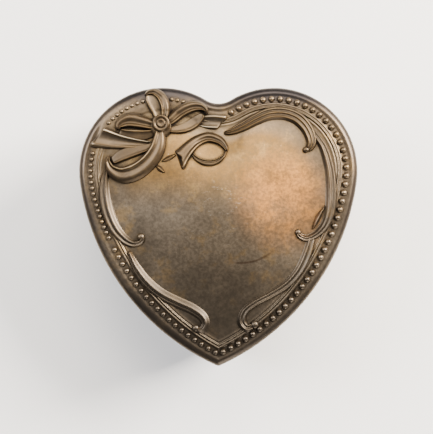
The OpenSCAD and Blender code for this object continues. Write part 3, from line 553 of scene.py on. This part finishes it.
# Inner faces of the loops lie low, and the outer bands pass over them and out to the knot. Each
# strip has its spine, its section and its lift, and a tail also its slanted cuts and its notch.
bow = {
    "bow_tail_left": (
        [(-23.5, 29.3, 2.0, -0.6), (-30.0, 29.7, 4.0, -0.2), (-35.0, 30.4, 5.4),
         (-39.5, 31.3, 6.9, 0.1), (-43.4, 32.2, 8.0, 0.2)], flag, 0.2, (None, -1.9), 0),
    "bow_tail_right": (
        [(-8.0, 37.4, 2.4, -0.9), (-4.8, 37.6, 4.9, -0.3), (-1.8, 37.6, 5.4, 0.1),
         (1.5, 37.3, 5.4, 0.3)], flag, 0.0, (None, -1.6), 0),
    "bow_top_inner": (
        [(-20.6, 36.5, 2.2), (-21.4, 40.0, 3.6), (-22.5, 42.9, 4.6), (-23.8, 45.8, 4.7),
         (-24.7, 47.8, 2.2)], facing, 0.5),
    "bow_top_outer": (
        [(-20.0, 36.5, 2.0, 0.2), (-19.0, 39.4, 2.8, 0.4), (-18.9, 43.0, 3.3, 0.4),
         (-20.3, 46.4, 3.4), (-22.8, 48.2, 2.7), (-25.0, 48.0, 1.6), (-26.2, 46.8, 0.7)],
        draped[::-1], 0.7),
    "bow_left_inner": (
        [(-21.2, 34.5, 1.6), (-24.8, 33.1, 3.0), (-28.8, 32.7, 4.0), (-32.6, 33.0, 3.8),
         (-35.3, 34.3, 1.6)], facing[::-1], 0.75),
    "bow_left_outer": (
        [(-20.6, 35.6, 2.0, 0.2), (-24.2, 36.6, 3.8, 0.4), (-28.4, 37.7, 4.8, 0.3),
         (-32.4, 38.1, 5.0), (-35.4, 36.5, 3.1), (-36.0, 34.6, 1.2)], draped[::-1], 0.55),
    "bow_low_inner": (
        [(-22.5, 29.6, 1.2), (-26.0, 28.0, 2.6), (-30.0, 26.9, 3.6), (-34.4, 25.4, 3.9),
         (-38.0, 23.2, 2.2)], facing, 0.55),
    "bow_low_outer": (
        [(-20.7, 35.0, 2.6, 0.2), (-20.9, 31.4, 4.4, 0.5), (-21.9, 27.5, 5.3, 0.3),
         (-24.7, 23.3, 5.9), (-29.1, 19.9, 6.2), (-34.3, 18.5, 5.8), (-38.2, 20.4, 3.9),
         (-39.5, 23.4, 2.0), (-38.9, 25.4, 0.7)], draped, 0.7),
    "bow_right_inner": (
        [(-18.8, 34.7, 1.4), (-14.6, 34.7, 2.6), (-10.8, 35.8, 3.5), (-7.6, 37.9, 3.4),
         (-5.3, 40.3, 1.5)], facing[::-1], 0.7),
    "bow_right_outer": (
        [(-19.4, 36.2, 2.2, 0.2), (-16.6, 38.4, 3.6, 0.4), (-13.2, 41.3, 4.2, 0.2),
         (-9.4, 43.0, 4.0), (-6.2, 43.0, 3.0), (-4.3, 41.6, 1.5), (-4.6, 40.2, 0.6)], draped, 0.6),
    "bow_end_turn": (
        [(-9.5, 26.1, 0.6), (-7.3, 23.9, 1.9), (-4.3, 22.8, 2.5), (-1.0, 23.1, 2.3),
         (1.4, 24.7, 1.6), (2.9, 27.3, 0.7)], draped[::-1], 0.35),
    "bow_end_over": (
        [(-14.0, 23.3, 6.6), (-12.2, 25.9, 5.4), (-10.2, 28.4, 4.6), (-7.2, 30.8, 3.9),
         (-3.5, 32.0, 3.5), (0.3, 30.9, 3.0), (2.5, 28.7, 1.9), (3.0, 26.8, 0.8)],
        draped, 0.5, (-1.9, None), 1.6),
    "bow_nub_upper": ([(-20.2, 23.2, 0.6), (-17.6, 24.3, 2.0), (-15.2, 25.6, 0.9)], crowned, 0.0),
    "bow_nub_lower": ([(-22.2, 21.9, 0.8), (-20.6, 20.5, 2.1), (-19.0, 19.2, 0.6)], crowned, 0.0)}
for name, (spine, section, lift, *tail) in bow.items():
    cuts, notch = tail or ((None, None), 0)
    made = strip(spine, section, lift, least=8.3, depth=1.2, cuts=cuts, notch=notch)
    piece(name, made, "lid", relief_finish)

knot_at = (-20.4, 35.4)
knot_profile = [(3.6, -1.2), (3.75, 1.0), (3.6, 1.6), (3.3, 1.95), (3.12, 1.9), (3.05, 1.8),
                (3.1, 2.2), (3.0, 2.75), (2.6, 3.0), (2.15, 2.9), (1.85, 2.65), (1.65, 2.6),
                (1.6, 2.9), (1.4, 3.15), (1.0, 3.1), (0.6, 2.9)]
knot_base = bed(*knot_at)
knot_turns = [math.tau * i / 48 for i in range(48)]
knot = loft([[(knot_at[0] + r * math.cos(t),
               knot_at[1] + r * math.sin(t) + 1.5 * smooth_step(1.5, 2.3, z), knot_base + z)
              for t in knot_turns] for r, z in knot_profile], True, "pole")[0]
piece("bow_knot", knot, "lid", relief_finish)

# ---- Beads ------------------------------------------------------------------------------------
# A row of round beads stands in the channel all round the lid's border, except under the bow.
# They are cast with the lid and have its plate.

bead_inset, bead_sunk, fine_beads_end = 4.2, 0.25, -5.8


def bead_places(inset, pitch, wanted):
    """Points at an even pitch along the heart at an inset, on the wanted stretch."""
    path = struck(inset, 2)
    path.append(path[0])
    total = sum(math.dist(a, b) for a, b in zip(path, path[1:]))
    count = round(total / pitch)
    out, done, k = [], 0.0, 0
    for i in range(count):
        want = total * (i + 0.5) / count
        while done + math.dist(path[k], path[k + 1]) < want:
            done += math.dist(path[k], path[k + 1])
            k += 1
        t = (want - done) / math.dist(path[k], path[k + 1])
        out.append(tuple(p + (q - p) * t for p, q in zip(path[k], path[k + 1])))
    return [place for place in out if wanted(*place)]


def small_end(x, y):
    """The stretch of finer beads, from the bow down the left side."""
    return x < -3 and y > fine_beads_end


def lower_left(x, y):
    """The stretch of middling beads, from the fine ones to the tip."""
    return x <= 0 and y <= fine_beads_end


def right_side(x, y):
    """The stretch of large beads, from the bow by the right side to the tip."""
    return x > 0 or y > fine_beads_end and not small_end(x, y)


bow_strips = strips[len(scrolls):]
beads = bmesh.new()
for pitch, r, wanted in ((3.07, 1.14, right_side), (2.08, 0.84, small_end), (2.9, 0.98, lower_left)):
    for x, y in bead_places(bead_inset, pitch, wanted):
        if all(math.hypot(x - p[0], y - p[1]) >= p[2] / 2 + 0.4 for path in bow_strips for p in path):
            middle = Vector((x, y, seam + reading(lip, bead_inset) - bead_sunk))
            bmesh.ops.create_uvsphere(beads, u_segments=16, v_segments=10, radius=r * MM,
                                      matrix=Matrix.Translation(middle * MM))
piece("lid_beads", beads, "lid", plate_finish)

# ---- Base casting -----------------------------------------------------------------------------
# The base is a hollow casting with bowed sides, a moulded foot and a plain band under the seam.
# It has the lid's old plate, browner in the hollow above the foot.

base_in, wall_rings, fullest = 4.6, 26, 1.44
base_profile = [(2.3, 0), (1.75, 0.3), (1.6, 0.9), (1.62, 1.5), (1.9, 2.0), (2.3, 2.3), (2.05, 2.5),
                (1.9, 2.9), (2.05, 3.3), (2.5, 3.6), (3.0, 4.0), (3.1, 4.6)]
for i in range(1, wall_rings):
    t = i / wall_rings
    bow_out = fullest * math.sin(math.pi * t ** 0.8) ** 2
    base_profile.append((3.1 - 0.2 * t - bow_out, 4.6 + (seam - 9.2) * t))
base_profile += [(2.85, seam - 4.3), (2.6, seam - 3.9), (2.55, seam - 3.6), (2.65, seam - 3.3),
                 (lid_outside, seam - 3.0), (lid_outside, seam - 1.5), (lid_outside, seam - 0.2),
                 (3.15, seam), (4.45, seam), (base_in, seam - 0.2), (base_in, 20), (base_in, 0.3),
                 (4.4, 0)]
base_mesh, base_rings = loft([[(x, y, z) for x, y in heart(d)] for d, z in base_profile], False, False)
open_edges = [base_mesh.edges.get((ring[i], ring[i - 1]))
              for ring in (base_rings[0], base_rings[-1]) for i in range(len(ring))]
bmesh.ops.bridge_loops(base_mesh, edges=open_edges)
piece("base_casting", base_mesh, "case", plate_finish, ["base_shell"])

# ---- Padded linings ---------------------------------------------------------------------------
# The tray's floor and the lid are lined with thin velvet pads, stuffed and glued at their edges.
# Each is inflated as cloth from a slightly smaller slab, so that its top crowns. The tray's pad
# has a hole for the stop rod.


def velvet(name, deep, light):
    f = Finish(name, sheen_weight=0.7, sheen_roughness=0.4, specular_ior_level=0.15)
    nap = f.noise(900, 3, 0.6)
    brushed = f.noise(45, 3, 0.5, (1, 0.45, 1))
    colour = f.mix(f.band(brushed, 0.4, 0.62), deep, light)
    pile = f.noise(5200, 2, 0.7)
    shade = f.mix(f.band(pile, 0.35, 0.65), colour, tuple(0.55 * c for c in deep))
    normal = f.bump(pile, 0.5, 0.00015, f.bump(nap, 0.25, 0.0003))
    return f.done(base_color=shade, roughness=0.75 + 0.2 * nap, normal=normal)


red_velvet = velvet("red_velvet", (0.16, 0.006, 0.014), (0.3, 0.016, 0.03))


last_frame = 12


def pad(name, node, body, room, swell, cap, hole=None):
    """A velvet pad inside a CAD slab's box: a slab lower than it by swell, inflated as cloth."""
    low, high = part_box(node)
    z0, z1 = low.z / MM, high.z / MM
    inset = room + 0.5
    slab = [(inset + 0.9, z0 + 0.12), (inset + 0.2, z0 + 0.3), (inset, (z0 + z1) / 2 - 0.15),
            (inset + 0.2, z1 - swell - 0.2), (inset + 0.9, z1 - swell)]
    bm, _ = loft([[(x, y, z) for x, y in heart(d, 0.5)] for d, z in slab])
    bmesh.ops.triangulate(bm, faces=[f for f in bm.faces if len(f.verts) > 4])
    made = piece(name, bm, body, red_velvet, [node])
    remesh = made.modifiers.new("remesh", "REMESH")
    remesh.mode = "VOXEL"
    remesh.voxel_size = 0.9 * MM
    settle(made)
    rest = [v.co.copy() for v in made.data.vertices]
    cloth = made.modifiers.new("cloth", "CLOTH")
    cloth.settings.use_pressure = True
    cloth.settings.uniform_pressure_force = 2.5
    cloth.settings.mass = 0.2
    cloth.settings.effector_weights.gravity = 0
    cloth.settings.shrink_min = -0.03
    cloth.point_cache.frame_end = last_frame
    for moment in range(1, last_frame + 1):
        bpy.context.scene.frame_set(moment)
    settle(made)
    bpy.context.scene.frame_set(1)
    for v, home in zip(made.data.vertices, rest):
        move = v.co - home
        if move.length > cap * MM:
            v.co = home + move.normalized() * cap * MM
        v.co.z = min(max(v.co.z, low.z + 0.05 * MM), high.z - 0.03 * MM)
    smooth = made.modifiers.new("smooth", "SMOOTH")
    smooth.iterations = 2
    settle(made)
    if hole:
        x, y, r = hole
        cutter = bmesh.new()
        middle = Matrix.Translation(Vector((x, y, (z0 + z1) / 2)) * MM)
        bmesh.ops.create_cone(cutter, cap_ends=True, segments=24, radius1=r * MM, radius2=r * MM,
                              depth=10 * MM, matrix=middle)
        punch = bpy.data.objects.new("punch", bpy.data.meshes.new("punch"))
        cutter.to_mesh(punch.data)
        cutter.free()
        bpy.context.collection.objects.link(punch)
        cut = made.modifiers.new("hole", "BOOLEAN")
        cut.operation = "DIFFERENCE"
        cut.object = punch
        settle(made)
        bpy.data.objects.remove(punch)
    made.data.shade_smooth()
    return made


def settle(made):
    """Applies a piece's modifiers to its mesh."""
    graph = bpy.context.evaluated_depsgraph_get()
    mesh = bpy.data.meshes.new_from_object(made.evaluated_get(graph))
    made.modifiers.clear()
    old = made.data
    made.data = mesh
    bpy.data.meshes.remove(old)


def coat(finish, *nodes):
    """Gives CAD nodes their finish."""
    for node in nodes:
        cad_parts[node].data.materials[0] = finish


rod_room = 0.35
rod_low, rod_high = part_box("stop_rod")
rod_middle = (rod_low + rod_high) / 2 / MM
rod_hole = (rod_middle.x, rod_middle.y, (rod_high.x - rod_low.x) / 2 / MM + rod_room)
pad("tray_pad", "tray_floor_velvet", "case", 6.8, 0.6, 0.9, rod_hole)
pad("lid_padding", "lid_pad", "lid", 5.3, 0.8, 1.2)
coat(red_velvet, "tray_wall_velvet")

# ---- Card parts -------------------------------------------------------------------------------
# The tray is pressed from dark brown card, and the board behind the lid's pad is cut from a
# paler one.


def card(name, pale, dark):
    f = Finish(name, specular_ior_level=0.25)
    fibre = f.noise(1500, 4, 0.65, (1, 0.3, 1))
    cloud = f.noise(90, 2)
    colour = f.mix(f.band(fibre, 0.35, 0.7), pale, dark)
    stained = f.mix(f.band(cloud, 0.45, 0.75) * 0.35, colour, tuple(0.6 * c for c in dark))
    return f.done(base_color=stained, roughness=0.8 + 0.15 * fibre, normal=f.bump(fibre, 0.3, 0.0001))


coat(card("tray_card", (0.2, 0.14, 0.1), (0.13, 0.09, 0.065)), "tray")
coat(card("lid_board_card", (0.46, 0.37, 0.26), (0.34, 0.27, 0.19)), "lid_board")

# ---- Hinges -----------------------------------------------------------------------------------
# Each of the two small brass hinges has a leaf on the base, a leaf on the lid and a pin. They are
# brown with age, and bright where the knuckles rub.


def brass(name, pale, deep, tarnish, polish):
    f = Finish(name, metallic=1.0)
    cloud = f.noise(260, 4, 0.6)
    spot = f.noise(1500, 3, 0.6)
    turned = f.noise(2600, 2, 0.5, (1, 1, 0.08))
    colour = f.mix(f.band(cloud, 0.4, 0.62), pale, deep)
    spotted = f.mix(f.band(spot, 0.58, 0.72) * tarnish, colour, (0.13, 0.085, 0.04))
    rough = polish + 0.16 * cloud + 0.12 * f.band(spot, 0.55, 0.7)
    return f.done(base_color=spotted, roughness=rough, normal=f.bump(turned, 0.12, 0.00005))


old_brass = brass("old_brass", (0.5, 0.39, 0.22), (0.33, 0.25, 0.14), 0.8, 0.32)
pin_brass = brass("pin_brass", (0.66, 0.5, 0.26), (0.5, 0.36, 0.17), 0.4, 0.2)
for side in ("left", "right"):
    coat(old_brass, "hinge_base_leaf_" + side, "hinge_lid_leaf_" + side)
    coat(pin_brass, "hinge_pin_" + side)

# ---- Underside --------------------------------------------------------------------------------
# A sheet-steel cover closes the base, held by slotted screws in three cast pillars. Green felt is
# glued over it, and the key turns in the hollow below.


def steel(name, pale, deep, polish, grain):
    f = Finish(name, metallic=1.0)
    cloud = f.noise(130, 4, 0.6)
    lines = f.noise(1800, 3, 0.6, grain)
    colour = f.mix(f.band(cloud, 0.4, 0.65), pale, deep)
    rough = polish + 0.16 * cloud + 0.1 * lines
    return f.done(base_color=colour, roughness=rough, normal=f.bump(lines, 0.15, 0.00005))


rolled_steel = steel("rolled_steel", (0.58, 0.57, 0.54), (0.42, 0.41, 0.39), 0.3, (0.06, 1, 1))
bright_steel = steel("bright_steel", (0.7, 0.7, 0.7), (0.56, 0.56, 0.57), 0.14, (1, 1, 0.08))
coat(rolled_steel, "bottom_cover")
coat(bright_steel, "cover_screws", "movement_screws")
coat(plate_finish, "pillars")


def felt(name, deep, light):
    f = Finish(name, sheen_weight=0.35, sheen_roughness=0.6, specular_ior_level=0.1)
    mat = f.noise(1400, 5, 0.75)
    hair = f.node("ShaderNodeTexWave", {}, {"Vector": f.place, "Scale": 700, "Distortion": 14,
                                            "Detail": 3})
    colour = f.mix(f.band(mat, 0.35, 0.68), deep, light)
    normal = f.bump(mat + 0.3 * hair, 0.6, 0.0002)
    return f.done(base_color=colour, roughness=0.85 + 0.12 * mat, normal=normal)


coat(felt("green_felt", (0.016, 0.045, 0.026), (0.035, 0.09, 0.05)), "bottom_felt")

# ---- Winding key and arbor --------------------------------------------------------------------
# The key is a cast brass butterfly pressed on the end of the steel arbor. It turns in the hollow
# under the base.

key_brass = brass("key_brass", (0.76, 0.58, 0.28), (0.6, 0.43, 0.19), 0.45, 0.18)
coat(key_brass, "winding_key")
coat(bright_steel, "winding_arbor")

# ---- Movement frame ---------------------------------------------------------------------------
# A nickelled steel bedplate carries the post, the two plates and the cock, all riveted to it, and
# is screwed down on the bottom cover.

coat(rolled_steel, "bedplate", "cylinder_post", "inner_plate", "outer_plate", "governor_cock",
     "brake_finger")

# ---- Spring barrel and wheels -----------------------------------------------------------------
# The barrel, its cap, the wheels and the music cylinder are turned from brass. The springs are
# blued steel, and the pinions, pins, arbors and screws are polished steel.

turned_brass = brass("turned_brass", (0.78, 0.6, 0.3), (0.64, 0.47, 0.2), 0.3, 0.16)
blued_steel = steel("blued_steel", (0.12, 0.16, 0.27), (0.06, 0.08, 0.15), 0.2, (1, 1, 0.1))
coat(turned_brass, "spring_barrel", "barrel_cap", "great_wheel", "cylinder_tube", "cylinder_heads",
     "cylinder_wheel", "worm_wheel", "rod_guide", "stop_rod")
coat(blued_steel, "mainspring", "clutch_spring", "stop_spring")
coat(bright_steel, "barrel_screws", "cylinder_pins", "cylinder_arbor", "cylinder_pinion",
     "governor_arbor", "governor_pinion", "worm", "comb_screws")

# ---- Comb -------------------------------------------------------------------------------------
# The comb is hardened steel, ground bright, with small lead weights under its longest teeth. Two
# screws hold it.

comb_steel = steel("comb_steel", (0.66, 0.67, 0.69), (0.5, 0.51, 0.54), 0.2, (0.08, 1, 1))
dull_lead = steel("dull_lead", (0.2, 0.2, 0.21), (0.11, 0.11, 0.12), 0.5, (1, 1, 1))
coat(comb_steel, "comb")
coat(dull_lead, "comb_weights")

# ---- Fly --------------------------------------------------------------------------------------
# The air brake is a small fan moulded in off-white nylon, and pushed on the end of the worm's
# spindle.

nylon = Finish("fly_nylon", specular_ior_level=0.45, subsurface_weight=0.1)
mould = nylon.noise(700, 3)
cream = nylon.mix(nylon.band(mould, 0.4, 0.7), (0.8, 0.77, 0.68), (0.7, 0.66, 0.56))
nylon.done(base_color=cream, roughness=0.4 + 0.15 * mould, normal=nylon.bump(mould, 0.1, 0.0001))
coat(nylon.material, "fly")
